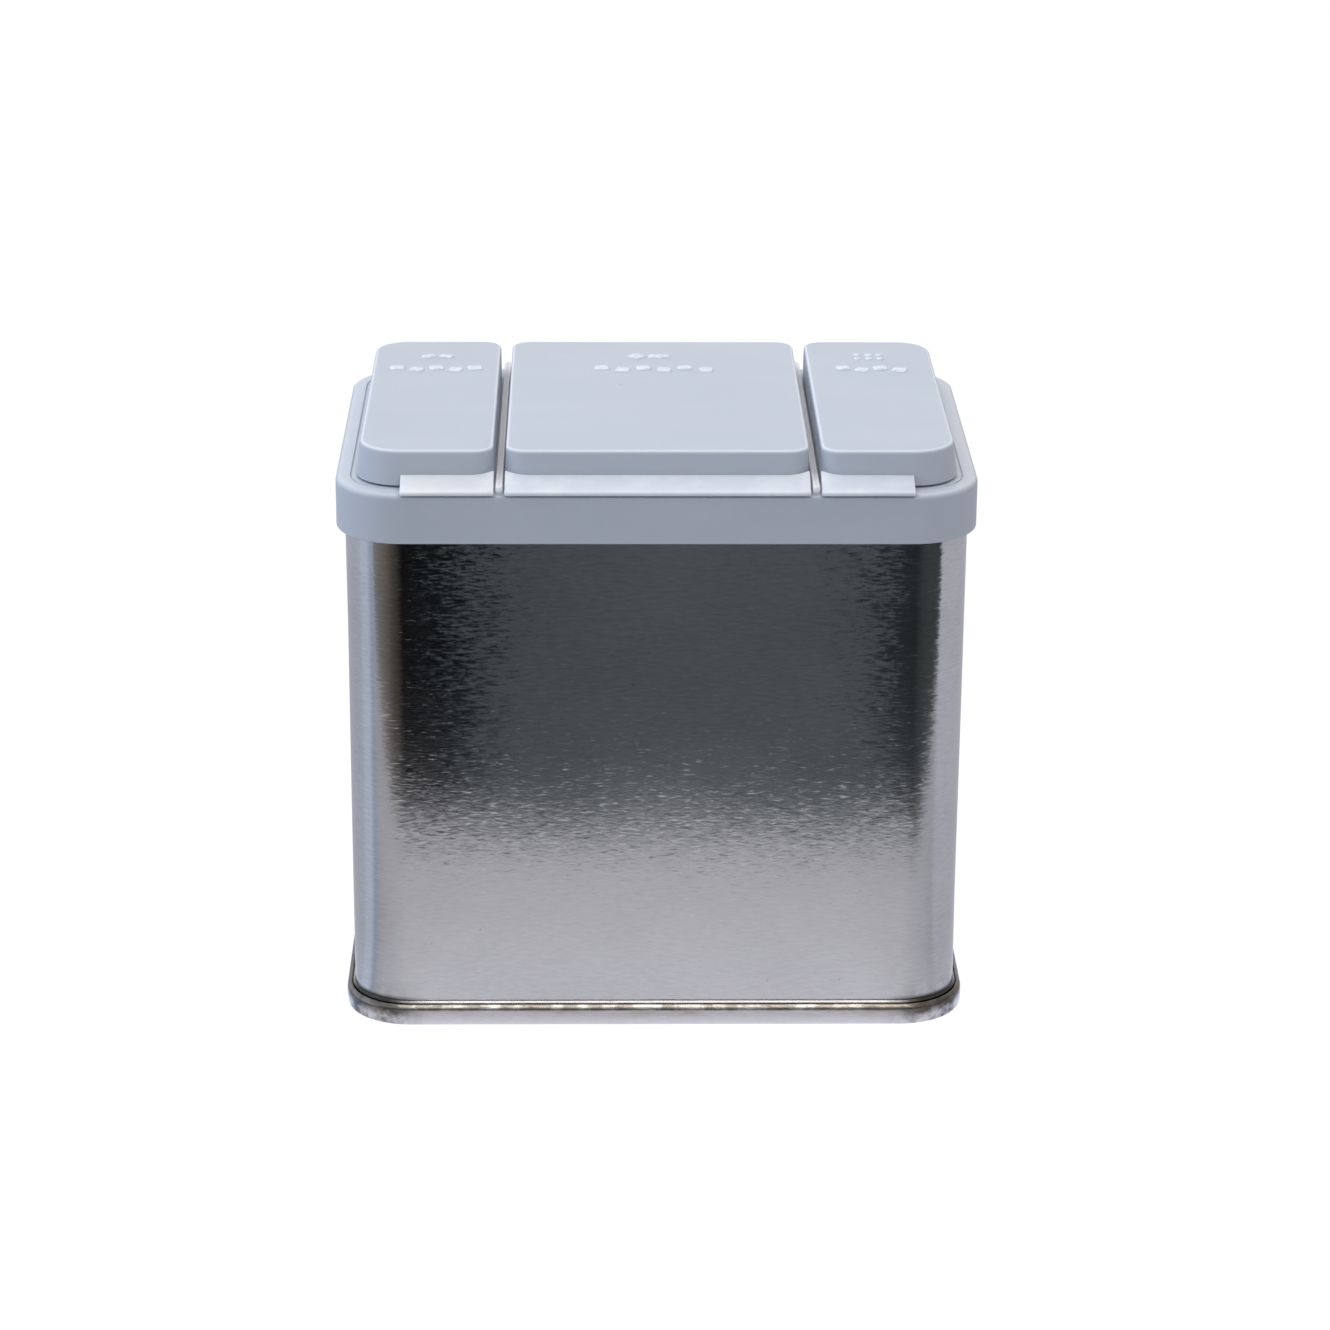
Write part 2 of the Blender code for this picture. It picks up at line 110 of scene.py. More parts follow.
LIP_RISE = 1.1 * MM
LIPS = {                                       # each thumb lip's middle and half width
    "pour": (-SMALL_CENTRE, 5.0 * MM), "spoon": (0.0, 12.0 * MM), "sift": (SMALL_CENTRE, 5.0 * MM),
}
FLAP_SIDES = {                                 # each flap's two sides and their front corners
    "pour": ((-FLAP_OUTER - SIDE_DRAFT, FRONT_CORNER), (-SMALL_INNER + RIB_DRAFT, INNER_CORNER)),
    "spoon": ((-SPOON_HALF - RIB_DRAFT, INNER_CORNER), (SPOON_HALF + RIB_DRAFT, INNER_CORNER)),
    "sift": ((SMALL_INNER - RIB_DRAFT, INNER_CORNER), (FLAP_OUTER + SIDE_DRAFT, FRONT_CORNER)),
}
LEAF_BARREL, LEAF_THICK, LEAF_EDGE = 0.4 * MM, 0.5 * MM, 0.12 * MM
NOTCH_RADIUS = 0.66 * MM
MARK_ROW_Y, MARK_STAGGER, ICON_Y = 13.2 * MM, 0.5 * MM, 20.1 * MM
BLOCK_WIDTH, BLOCK_DEPTH, STUD = 2.0 * MM, 1.7 * MM, 0.9 * MM


# ---- mesh helpers -------------------------------------------------------------------------------
def rounded(points, steps=5, support=0.05 * MM, closed=False):
    """Rounds a section's corners. Each point is (offset, draft share, z, cut): cut is how far from
    the corner its curve starts. A short flat run beside each curve keeps the flats flat."""
    made = []
    count = len(points)
    for i, (offset, share, z, cut) in enumerate(points):
        here = Vector((offset, share * MM, z))
        end = not closed and i in (0, count - 1)
        if cut <= 0 or end:
            made.append(here)
            continue
        before = Vector((points[i - 1][0], points[i - 1][1] * MM, points[i - 1][2]))
        after_point = points[(i + 1) % count]
        after = Vector((after_point[0], after_point[1] * MM, after_point[2]))
        back, on = (before - here), (after - here)
        start = here + back.normalized() * min(cut, back.length * 0.49)
        stop = here + on.normalized() * min(cut, on.length * 0.49)
        if back.length > 2.5 * cut:
            made.append(start + back.normalized() * support)
        for step in range(steps + 1):
            t = step / steps
            made.append(start.lerp(here, t).lerp(here.lerp(stop, t), t))
        if on.length > 2.5 * cut:
            made.append(stop + on.normalized() * support)
    return [(v.x, v.y / MM, v.z) for v in made]


def outline(plan, corners, grow, steps, run=None):
    """Points round a rectangle, anticlockwise from its -X -Y corner; grow moves each side out, and
    run is the longest step along a straight side."""
    left, right, front, rear = grow
    x0, x1, y0, y1 = plan[0] - left, plan[1] + right, plan[2] - front, plan[3] + rear
    places = (
        (x0, y0, 180, (left + front) / 2), (x1, y0, 270, (right + front) / 2),
        (x1, y1, 0, (right + rear) / 2), (x0, y1, 90, (left + rear) / 2),
    )
    points = []
    for (x, y, start, more), corner in zip(places, corners):
        radius = max(corner + more, 0.3 * MM)
        cx = x + math.copysign(radius, (x0 + x1) / 2 - x)
        cy = y + math.copysign(radius, (y0 + y1) / 2 - y)
        for step in range(steps + 1):
            angle = math.radians(start + 90 * step / steps)
            points.append((cx + radius * math.cos(angle), cy + radius * math.sin(angle)))
    if run is None:
        return points
    dense = []
    for i, (x, y) in enumerate(points):
        dense.append((x, y))
        if i % (steps + 1) == steps:
            nx, ny = points[(i + 1) % len(points)]
            length = plan[1] - plan[0] if abs(ny - y) < TINY else plan[3] - plan[2]
            parts = max(1, round(length / run))
            dense += [(x + (nx - x) * k / parts, y + (ny - y) * k / parts) for k in range(1, parts)]
    return dense


def skin(bm, rings, closed=False):
    """Faces between each ring of vertices and the next, and over both ends."""
    pairs = list(zip(rings, rings[1:]))
    if closed:
        pairs.append((rings[-1], rings[0]))
    else:
        bm.faces.new(rings[0])
        bm.faces.new(rings[-1])
    for ring, following in pairs:
        for i in range(len(ring)):
            j = (i + 1) % len(ring)
            bm.faces.new((ring[i], ring[j], following[j], following[i]))
    bmesh.ops.recalc_face_normals(bm, faces=bm.faces[:])


def loft(plan, corners, profile, steps, draft=(0, 0, 0, 0), closed=False, run=None, warp=None):
    """A solid through one ring for each (offset, draft share, z) of the profile."""
    bm = bmesh.new()
    rings = []
    for offset, share, z in profile:
        ring = outline(plan, corners, [offset + side * share for side in draft], steps, run)
        places = [warp(x, y, z) if warp else (x, y, z) for x, y in ring]
        rings.append([bm.verts.new(place) for place in places])
    skin(bm, rings, closed)
    return bm


def turned(bm, angle, axis, move):
    """Turns a mesh about an axis through the origin, then moves it."""
    bmesh.ops.rotate(bm, cent=(0, 0, 0), matrix=Matrix.Rotation(angle, 3, axis), verts=bm.verts)
    bmesh.ops.translate(bm, vec=move, verts=bm.verts)
    return bm


def as_object(name, bm):
    mesh = bpy.data.meshes.new(name)
    bm.to_mesh(mesh)
    bm.free()
    obj = bpy.data.objects.new(name, mesh)
    bpy.context.scene.collection.objects.link(obj)
    return obj


def join(parts):
    """One mesh holding several closed shells."""
    bm = bmesh.new()
    for part in parts:
        mesh = bpy.data.meshes.new("shell")
        part.to_mesh(mesh)
        part.free()
        bm.from_mesh(mesh)
        bpy.data.meshes.remove(mesh)
    return bm


def combine(obj, bm, operation):
    """Applies a union or a difference with the mesh bm."""
    helper = as_object("helper", bm)
    modifier = obj.modifiers.new("combine", "BOOLEAN")
    modifier.operation = operation
    modifier.object = helper
    modifier.solver = "EXACT"
    bpy.context.view_layer.update()
    made = bpy.data.meshes.new_from_object(
        obj.evaluated_get(bpy.context.evaluated_depsgraph_get()))
    obj.modifiers.clear()
    old = obj.data
    obj.data = made
    bpy.data.meshes.remove(old)
    shape = helper.data
    bpy.data.objects.remove(helper)
    bpy.data.meshes.remove(shape)


def settle(obj, material, body, node):
    """Cleans the mesh, shades it smooth, and gives the piece its material and its place."""
    bm = bmesh.new()
    bm.from_mesh(obj.data)
    bmesh.ops.remove_doubles(bm, verts=bm.verts, dist=WELD)
    bmesh.ops.dissolve_degenerate(bm, edges=bm.edges, dist=SHORTEST)
    bm.to_mesh(obj.data)
    bm.free()
    obj.data.materials.clear()
    obj.data.materials.append(material)
    for polygon in obj.data.polygons:
        polygon.use_smooth = True
        polygon.material_index = 0
    obj.data.set_sharp_from_angle(angle=SHARP)
    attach(obj, body)
    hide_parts(node)


# ---- node helpers -------------------------------------------------------------------------------
class Nodes:
    """A node tree, with one call for each node."""

    def __init__(self, tree):
        self.nodes, self.links = tree.nodes, tree.links

    def fill(self, socket, value):
        if isinstance(value, bpy.types.NodeSocket):
            self.links.new(value, socket)
        else:
            socket.default_value = value

    def add(self, kind, inputs=None, out=0, **settings):
        made = self.nodes.new(kind)
        for key, value in settings.items():
            setattr(made, key, value)
        for key, value in (inputs or {}).items():
            self.fill(made.inputs[key], value)
        return made.outputs[out]

    def math(self, operation, a, b=0.0, clamp=False):
        return self.add("ShaderNodeMath", {0: a, 1: b}, operation=operation, use_clamp=clamp)

    def times(self, first, *others):
        for other in others:
            first = self.math("MULTIPLY", first, other)
        return first

    def mix(self, factor, a, b, kind="MIX"):
        return self.add("ShaderNodeMix", {0: factor, 6: a, 7: b}, out=2,
                        data_type="RGBA", blend_type=kind)

    def split(self, vector, axis):
        return self.add("ShaderNodeSeparateXYZ", {0: vector}, out=axis)

    def ramp(self, value, low, high, stops):
        """A ramp over value from low to high; a stop is (value, grey) or (value, r, g, b)."""
        fit = self.add("ShaderNodeMapRange", {"Value": value, "From Min": low, "From Max": high})
        node = self.nodes.new("ShaderNodeValToRGB")
        elements = node.color_ramp.elements
        while len(elements) < len(stops):
            elements.new(0.5)
        for element, (at, *tone) in zip(elements, stops):
            element.position = (at - low) / (high - low)
            element.color = (*(tone if len(tone) == 3 else tone * 3), 1)
        self.links.new(fit, node.inputs[0])
        return node.outputs[0]


class Surface(Nodes):
    """A Principled material on a piece of the tin."""

    def __init__(self, name):
        self.material = bpy.data.materials.new(name)
        self.material.use_nodes = True
        super().__init__(self.material.node_tree)
        self.shader = self.nodes["Principled BSDF"]

    def set(self, **values):
        for key, value in values.items():
            self.fill(self.shader.inputs[key.replace("_", " ")], value)

    def place(self):
        return self.add("ShaderNodeTexCoord", out="Object")

    def axis(self, name):
        return self.split(self.place(), name)

    def noise(self, scale, detail=3.0, rough=0.55, stretch=(1, 1, 1), offset=0.0):
        where = self.add("ShaderNodeMapping", {
            "Vector": self.place(), "Scale": stretch,
            "Location": (offset, offset * 0.7, offset * 1.3)})
        return self.add("ShaderNodeTexNoise", {
            "Vector": where, "Scale": scale, "Detail": detail, "Roughness": rough}, out="Fac")

    def span(self, value, low, high, to_low=0.0, to_high=1.0, smooth=False):
        return self.add("ShaderNodeMapRange", {
            "Value": value, "From Min": low, "From Max": high,
            "To Min": to_low, "To Max": to_high},
            interpolation_type="SMOOTHSTEP" if smooth else "LINEAR")

    def bump(self, height, strength, distance, normal=None):
        inputs = {"Height": height, "Strength": strength, "Distance": distance}
        if normal is not None:
            inputs["Normal"] = normal
        return self.add("ShaderNodeBump", inputs)

    def tilted(self, normal, turn, tilt):
        """The normal of an upright wall turned sideways and leant up, in radians."""
        lean = self.add("ShaderNodeCombineXYZ", {"X": turn, "Y": turn, "Z": tilt})
        lean = self.add("ShaderNodeVectorTransform", {"Vector": lean},
                        vector_type="VECTOR", convert_from="OBJECT", convert_to="WORLD")
        leant = self.add("ShaderNodeVectorMath", {0: normal, 1: lean}, operation="ADD")
        return self.add("ShaderNodeVectorMath", {0: leant}, operation="NORMALIZE")

    def band(self, start, full, stop, end):
        """1 between the heights full and stop, falling to 0 at start and end."""
        height = self.axis("Z")
        return self.times(self.span(height, start, full), self.span(height, end, stop))

    def near_ribs(self):
        """1 within the width of a divider rib, 0 elsewhere."""
        off = self.math("SUBTRACT", self.math("ABSOLUTE", self.axis("X")), RIB_X)
        return self.span(self.math("ABSOLUTE", off), RIB_HALF + 0.1 * MM, RIB_HALF + 0.05 * MM)

    def seam_ends(self):
        """1 on the seam's short sides, 0 elsewhere."""
        return self.span(self.math("ABSOLUTE", self.axis("X")), WIDE - 2 * MM, WIDE - 0.8 * MM)

    def corners(self):
        """1 near the tin's four upright corners, 0 along its sides."""
        near = [self.span(self.math("ABSOLUTE", self.axis(name)), half - 14 * MM, half - 6 * MM,
                          smooth=True) for name, half in (("X", WIDE), ("Y", DEEP))]
        return self.times(*near)


# ---- materials ----------------------------------------------------------------------------------
SCRATCH_PALE = (0.80, 0.79, 0.78, 1)
# dark flecks, and painted shade in the smudges at the corners' foot
FLECK_AND_SHADE_DARK = (0.12, 0.10, 0.09, 1)
# grime, and painted crevice shade where the seam meets the wall
GRIME_AND_SHADE_DARK = (0.07, 0.058, 0.05, 1)
# painted reflection: brownish, low on the seam
REFLECTION_BROWN = (0.28, 0.24, 0.20, 1)
# painted dark breaks in the seam shoulder's highlight
SHINE_BREAK_DARK = (0.20, 0.18, 0.16, 1)
# painted shade at the corners' foot
FOOT_SHADE_DARK = (0.05, 0.045, 0.04, 1)
FLOW_PALE = (0.85, 0.88, 0.93, 1)
SPECK_GREY = (0.2, 0.2, 0.22, 1)
# whitened patches on the leaves, and painted glints on the marks' tops
WHITENED_AND_GLINT_PALE = (0.90, 0.94, 1.0, 1)
# painted highlight on the flaps' top edges, and painted light on the land
EDGE_AND_LAND_LIGHT = (0.86, 0.89, 0.94, 1)
# painted light on the divider ribs' tops
RIB_LIGHT_PALE = (0.96, 0.96, 0.98, 1)
# painted light towards the leaves' left end
LEAF_LEFT_LIGHT = (0.98, 1.0, 1.0, 1)
# painted shade towards the leaves' right end
LEAF_RIGHT_SHADE = (0.60, 0.645, 0.74, 1)

GRAIN_TILT, GRAIN_TURN = 0.12, 0.14            # how far the grain leans and turns the wall, radians
DASHES = ((17.0, 0.065), (23.0, -0.105))       # noise offset and lean of the deeper dashes


def tinplate(name, base, dark, rough, seam_grime_and_shade):
    """Bright tinplate: a fine horizontal grain, short scratches, soft cloudiness. Where the grime
    strength is above 0 it sets the grime at the corners, which also get painted crevice shade
    towards the seam's top; the short sides darken towards the top, the lower part gets a painted
    brownish reflection, and painted dark breaks cross the shoulder's highlight. Otherwise the
    corners get painted shade at the foot, with smudges of dirt and painted shade above it."""
    t = Surface(name)
    grain = t.noise(1100, 3, 0.65, (1, 1, 2.2))
    streak = t.noise(620, 3, 0.6, (1, 1, 5.5), 3.1)
    cloud = t.noise(42, 3, 0.5, (1, 1, 1.6), 7.7)
    scratch = t.span(t.noise(620, 2, 0.5, (1, 1, 12), 11.3), 0.70, 0.76, smooth=True)
    fleck = t.span(t.noise(900, 1, 0.5, (1, 1, 1.5), 1.9), 0.80, 0.84)
    grime = t.span(t.noise(420, 5, 0.65, (1, 1, 1), 1.9), 0.40, 0.64)
    height = t.axis("Z")
    at_corners = t.corners()

    tone = t.math("ADD", t.times(streak, 0.6), t.times(cloud, 0.4))
    body = t.mix(t.span(tone, 0.38, 0.62), dark, base)
    body = t.mix(t.times(scratch, 0.15), body, SCRATCH_PALE)
    body = t.mix(t.times(fleck, 0.5), body, FLECK_AND_SHADE_DARK)
    if seam_grime_and_shade:
        # painted crevice shade: the seam's corners darkened towards its top, on top of the corner
        # grime
        crevice_shade = t.span(height, 1.3 * MM, 2.5 * MM)
        grime_and_crevice_shade = t.times(at_corners, t.math("ADD", t.times(grime, seam_grime_and_shade), crevice_shade, clamp=True))
        # the seam's short sides darkened towards the top
        ends = t.times(t.seam_ends(), t.span(height, 1.8 * MM, 2.6 * MM), 0.85)
        body = t.mix(t.math("MAXIMUM", grime_and_crevice_shade, ends), body, GRIME_AND_SHADE_DARK)
        # painted reflection: a brownish tint on the seam's lower part, for the brownish floor it
        # mirrors
        reflection_tint = t.span(t.noise(160, 4, 0.6, (1, 1, 4), 5.9), 0.45, 0.70)
        reflection_tint = t.times(reflection_tint, t.span(height, 0.8 * MM, 2.2 * MM, 0.0, 0.6))
        body = t.mix(reflection_tint, body, REFLECTION_BROWN)
        # painted dark breaks across the highlight mirrored along the seam's shoulder
        shine_breaks = t.span(t.noise(300, 3, 0.5, (1, 1, 1), 6.6), 0.40, 0.56, 0.0, 0.88)
        body = t.mix(t.times(shine_breaks, t.span(height, 2.2 * MM, 2.6 * MM)), body, SHINE_BREAK_DARK)
    else:
        # painted shade: the corners darkened at the wall's foot, in the crevice just above the seam
        foot = t.times(at_corners, t.span(height, 4.3 * MM, 3.7 * MM))
        body = t.mix(foot, body, FOOT_SHADE_DARK)
        # smudges of dirt with painted shade, darker towards the corners' foot
        smudge_and_shade = t.times(t.span(height, 7 * MM, 4 * MM), grime, 0.35)
        body = t.mix(t.times(at_corners, smudge_and_shade), body, FLECK_AND_SHADE_DARK)

    roughness = t.math("ADD", t.span(cloud, 0.3, 0.7, rough - 0.01, rough + 0.01),
                       t.span(streak, 0.35, 0.7, -0.01, 0.015))
    roughness = t.math("ADD", roughness, t.times(scratch, 0.10))
    relief = t.math("SUBTRACT", t.times(grain, 0.5), t.times(scratch, 0.15))
    tilt = t.times(t.math("SUBTRACT", streak, 0.5), GRAIN_TILT)
    for offset, lean in DASHES:
        dash = t.span(t.noise(560, 3, 0.6, (1, 1, 6.5), offset), 0.56, 0.82, 0.0, lean)
        tilt = t.math("ADD", tilt, dash)
    turn = t.noise(620, 3, 0.6, (1, 1, 5.5), 41.0)
    turn = t.times(t.math("SUBTRACT", turn, 0.5), GRAIN_TURN)
    t.set(Base_Color=body, Metallic=1.0, Roughness=roughness,
          Anisotropic=0.85, Anisotropic_Rotation=0.25,
          Normal=t.tilted(t.bump(relief, 1.0, 0.02 * MM), turn, tilt),
          Tangent=t.add("ShaderNodeTangent", direction_type="RADIAL", axis="Z"))
    return t.material


def moulded(name, base, shade, rough, leaf=False):
    """Moulded polypropylene: a faint cloud and a fine satin texture. On the cap, painted highlights
    make the flaps' top edges and the marks' tops paler, and painted light makes the ribs and land
    paler; a leaf is wavy, with whitened patches, painted light towards the cap's left end and
    painted shade towards its right end."""
    t = Surface(name)
    cloud = t.noise(28, 3, 0.5, (1, 1, 1), 2.2)
    satin = t.noise(2600, 2, 0.6, (1, 1, 1), 5.4)
    flow = t.noise(90, 4, 0.6, (0.35, 1, 1), 8.8)
    speck = t.span(t.noise(700, 1, 0.4, (1, 1, 1), 13.0), 0.79, 0.83)
    body = t.mix(t.span(cloud, 0.3, 0.7), shade, base)
    body = t.mix(t.times(t.span(flow, 0.45, 0.75), 0.08), body, FLOW_PALE)
    body = t.mix(t.times(speck, 0.25), body, SPECK_GREY)
    roughness = t.math("ADD", t.span(cloud, 0.3, 0.7, rough - 0.04, rough + 0.04),
                       t.span(satin, 0.3, 0.7, -0.03, 0.03))
    normal = t.bump(satin, 0.25, 0.02 * MM)
    if leaf:
        patch = t.span(t.noise(330, 3, 0.6, (0.6, 0.8, 0.8), 6.0), 0.45, 0.62, smooth=True)
        across = t.axis("X")
        body = t.mix(t.times(patch, 0.4), body, WHITENED_AND_GLINT_PALE)
        # painted light towards the cap's left end, painted shade towards its right end
        body = t.mix(t.span(across, -20 * MM, -34 * MM, 0.0, 0.45), body, LEAF_LEFT_LIGHT)
        body = t.mix(t.span(across, 24 * MM, 40 * MM, 0.0, 0.45), body, LEAF_RIGHT_SHADE)
        wave = t.noise(210, 2, 0.45, (1, 0.6, 0.6), 4.0)
        normal = t.bump(wave, 1.0, 0.18 * MM, normal)
    else:
        height = t.axis("Z")
        # painted glints: the raised marks' tops made paler, and glossier
        mark_glint = t.times(
            t.span(height, FLAP_TOP + 0.02 * MM, FLAP_TOP + 0.15 * MM),
            t.span(t.noise(1300, 2, 0.5, (1, 1, 1), 3.0), 0.38, 0.58, 0.3, 0.75))
        # painted highlight along the flaps' rounded top edges
        edge = t.band(FLAP_TOP - 0.35 * MM, FLAP_TOP - 0.12 * MM,
                      FLAP_TOP - 0.03 * MM, FLAP_TOP - 0.005 * MM)
        # painted light: the divider ribs' tops made paler, for light reaching down between the
        # flaps
        rib = t.times(t.near_ribs(), t.span(height, RIM_TOP + 0.2 * MM, RIM_TOP + 0.6 * MM))
        # painted light: the land made paler just round its top
        land = t.band(RIM_TOP - 0.1 * MM, RIM_TOP - 0.03 * MM,
                      RIM_TOP + 0.03 * MM, RIM_TOP + 0.1 * MM)
        body = t.mix(mark_glint, body, WHITENED_AND_GLINT_PALE)
        body = t.mix(t.times(edge, 0.55), body, EDGE_AND_LAND_LIGHT)
        body = t.mix(rib, body, RIB_LIGHT_PALE)
        body = t.mix(t.times(land, 0.22), body, EDGE_AND_LAND_LIGHT)
        roughness = t.math("SUBTRACT", roughness, t.times(mark_glint, 0.12))
        normal = t.bump(flow, 0.15, 0.05 * MM, normal)
    t.set(Base_Color=body, Roughness=roughness, Normal=normal, IOR=1.49, Subsurface_Weight=0.45,
          Subsurface_Radius=(1.0, 1.0, 1.0), Subsurface_Scale=1.6 * MM)
    return t.material


TIN = tinplate("brushed_tinplate", (0.64, 0.635, 0.64, 1), (0.55, 0.545, 0.55, 1), 0.116, 0.0)
SEAM = tinplate("seam_tinplate", (0.57, 0.56, 0.555, 1), (0.50, 0.485, 0.47, 1), 0.15, 0.85)
CAP = moulded("cap_satin", (0.53, 0.575, 0.65, 1), (0.51, 0.555, 0.63, 1), 0.36)
LEAF = moulded("leaf_gloss", (0.78, 0.83, 0.93, 1), (0.71, 0.76, 0.86, 1), 0.2, leaf=True)


# ---- the tin ------------------------------------------------------------------------------------
def dented(x, y, z):
    """The wall's slight unevenness, fading out under the cap and at the foot."""
    fade_in, fade_out = (z - 5 * MM) / (12 * MM), (TIN_TOP - 8 * MM - z) / (12 * MM)
    fade = min(1.0, max(0.0, fade_in)) * min(1.0, max(0.0, fade_out))
    soft = noise.noise(Vector((x * 32, y * 32, z * 26)))
    push = fade * (0.10 * soft - 0.03) * MM
    length = math.hypot(x, y) or 1.0
    return (x + push * x / length, y + push * y / length, z)


def make_body():
    foot = SEAM_FLOOR + GAP
    hem = TIN_TOP - HEM_DEPTH
    tall = TIN_TOP - 12 * MM                   # the part of the wall that the even rows cover
    section = [
        (0.36 * MM, 0, foot, 0), (0.36 * MM, 0, SEAM_HEIGHT + 0.12 * MM, 0.1 * MM),
        (0.0, 0, SEAM_HEIGHT + 0.25 * MM, 0.5 * MM),
    ]
    section += [(0.0, 0, WALL_FOOT + tall * k / OUTER_ROWS, 0) for k in range(1, OUTER_ROWS + 1)]
    section += [
        (0.0, 0, TIN_TOP, 0.2 * MM), (-2 * SHEET, 0, TIN_TOP, 0.2 * MM),
        (-2 * SHEET, 0, hem, 0.1 * MM), (-SHEET, 0, hem - 0.1 * MM, 0),
    ]
    section += [(-SHEET, 0, hem - 0.1 * MM - tall * k / INNER_ROWS, 0)
                for k in range(1, INNER_ROWS + 1)]
    section += [
        (-SHEET, 0, 4.0 * MM, 0.4 * MM), (0.0, 0, SEAM_HEIGHT - 0.2 * MM, 0.2 * MM),
        (0.0, 0, foot, 0),
    ]
    body = as_object("tin_body", loft(
        BODY_PLAN, [BODY_RADIUS] * 4, rounded(section, 5, closed=True), BODY_STEPS, closed=True,
        run=ROW_LENGTH, warp=dented))
    wall = BODY_PLAN[1] - SHEET
    fold_plan = (wall - 0.35 * MM, wall + 0.12 * MM, 10 * MM, 14.5 * MM)
    fold = loft(fold_plan, [0.15 * MM] * 4, [(0, 0, 6 * MM), (0, 0, 77 * MM)], 3)
    combine(body, fold, "UNION")
    settle(body, TIN, "tin", "body_shell")


def crumpled(x, y, z):
    """The seam's outer side is slightly uneven, and puckered where it turns into the corners."""
    if abs(x) <= BODY_PLAN[1] and abs(y) <= BODY_PLAN[3]:
        return (x, y, z)
    past_x, past_y = max(0.0, abs(x) - CORNER_X), max(0.0, abs(y) - CORNER_Y)
    corner = min(1.0, past_x * past_y / (12 * MM * MM))
    rough = noise.noise(Vector((x * 900, y * 900, z * 500)))
    soft = noise.noise(Vector((x * 120, y * 120, z * 60)))
    push = (-0.07 * corner * abs(rough) + 0.03 * soft - 0.03) * MM
    sink = min(0.0, 0.04 * MM * soft) if z > 2.6 * MM else 0.0
    length = math.hypot(x, y)
    return (x + push * x / length, y + push * y / length, z + sink)


def make_bottom():
    well = -2 * GAP
    outside, inside = SEAM_PROUD, SEAM_PROUD - SHEET
    low = PANEL - SHEET
    section = [
        (-20 * MM, 0, PANEL + 0.3 * MM, 0), (-9.2 * MM, 0, PANEL + 0.5 * MM, 0.3 * MM),
        (-8.3 * MM, 0, PANEL, 0.3 * MM), (-5.2 * MM, 0, PANEL, 0.2 * MM),
        (-4.7 * MM, 0, PANEL - BEAD, 0.2 * MM), (-4.2 * MM, 0, PANEL - BEAD, 0.2 * MM),
        (-3.7 * MM, 0, PANEL, 0.2 * MM), (well, 0, PANEL, 0.4 * MM),
        (well, 0, SEAM_FLOOR, 0.1 * MM), (inside, 0, SEAM_FLOOR, 0.1 * MM),
        (inside, 0, SEAM_HEIGHT - SHEET, 0.1 * MM),
        (0.55 * MM, 0, SEAM_HEIGHT - SHEET, 0.05 * MM),
        (0.55 * MM, 0, SEAM_HEIGHT - 0.03 * MM, 0.08 * MM),
        (0.78 * MM, 0, SEAM_HEIGHT - 0.02 * MM, 0.12 * MM),
        (1.2 * MM, 0, SEAM_HEIGHT - 0.46 * MM, 0.16 * MM),
        (outside - 0.01 * MM, 0, SEAM_HEIGHT - 0.82 * MM, 0.15 * MM),
        (outside, 0, 1.3 * MM, 0.4 * MM), (outside - 0.05 * MM, 0, 0.0, 0.4 * MM),
        (well, 0, 0.0, 0.25 * MM), (well - SHEET, 0, low, 0.5 * MM),
        (-3.6 * MM, 0, low, 0.2 * MM), (-4.1 * MM, 0, PANEL - BEAD - SHEET, 0.2 * MM),
        (-4.8 * MM, 0, PANEL - BEAD - SHEET, 0.2 * MM), (-5.3 * MM, 0, low, 0.2 * MM),
        (-8.4 * MM, 0, low, 0.3 * MM), (-9.3 * MM, 0, PANEL + 0.5 * MM - SHEET, 0.3 * MM),
        (-20 * MM, 0, PANEL + 0.3 * MM - SHEET, 0),
    ]
    bottom = as_object("tin_bottom", loft(
        BODY_PLAN, [BODY_RADIUS] * 4, rounded(section, 4), SEAM_STEPS,
        run=ROW_LENGTH, warp=crumpled))
    settle(bottom, SEAM, "tin", "bottom_end")


# ---- the cap ------------------------------------------------------------------------------------
def opening(plan, corners, steps, edge):
    """A cutter through the deck that leaves its edges rounded."""
    low, high = RIM_TOP - DECK, RIM_TOP
    turns = [k * math.pi / 8 for k in range(5)]
    section = [(edge, 0, low - 1 * MM)]
    section += [(edge * (1 - math.sin(a)), 0, low + edge * (1 - math.cos(a))) for a in turns]
    section += [(edge * (1 - math.cos(a)), 0, high - edge + edge * math.sin(a)) for a in turns]
    section += [(edge, 0, high + 1 * MM)]
    return loft(plan, corners, section, steps)


def land_groove():
    """A fine groove in the land, just outside the flaps."""
    side = FLAP_OUTER + SIDE_DRAFT + GROOVE_OUT
    plan = (-side, side, FLAP_FRONT - HINGE_DRAFT - 0.5 * GROOVE_OUT,
            FLAP_REAR + REAR_DRAFT - 0.2 * MM)
    front, rear = FRONT_CORNER + GROOVE_OUT, REAR_CORNER + GROOVE_OUT
    half, floor_half = GROOVE_HALF, 0.3 * GROOVE_HALF
    above, lip, deep = RIM_TOP + 0.5 * MM, RIM_TOP - 0.02 * MM, RIM_TOP - GROOVE_DEPTH
    section = [(half, 0, above), (half, 0, lip), (floor_half, 0, deep),
               (-floor_half, 0, deep), (-half, 0, lip), (-half, 0, above)]
    return loft(plan, [front, front, rear, rear], section, 14, closed=True)


def divider_rib(x):
    plan = (x - RIB_HALF, x + RIB_HALF, -DEEP + 0.28 * MM, DEEP - 0.28 * MM)
    section = [(0.05 * MM, 0, RIM_TOP - 0.5 * MM, 0), (0.0, 0, RIM_TOP + RIB_RISE, 0.25 * MM),
               (-0.4 * MM, 0, RIM_TOP + RIB_RISE, 0)]
    return loft(plan, [0.45 * MM] * 4, rounded(section, 4, 0.02 * MM), 5)


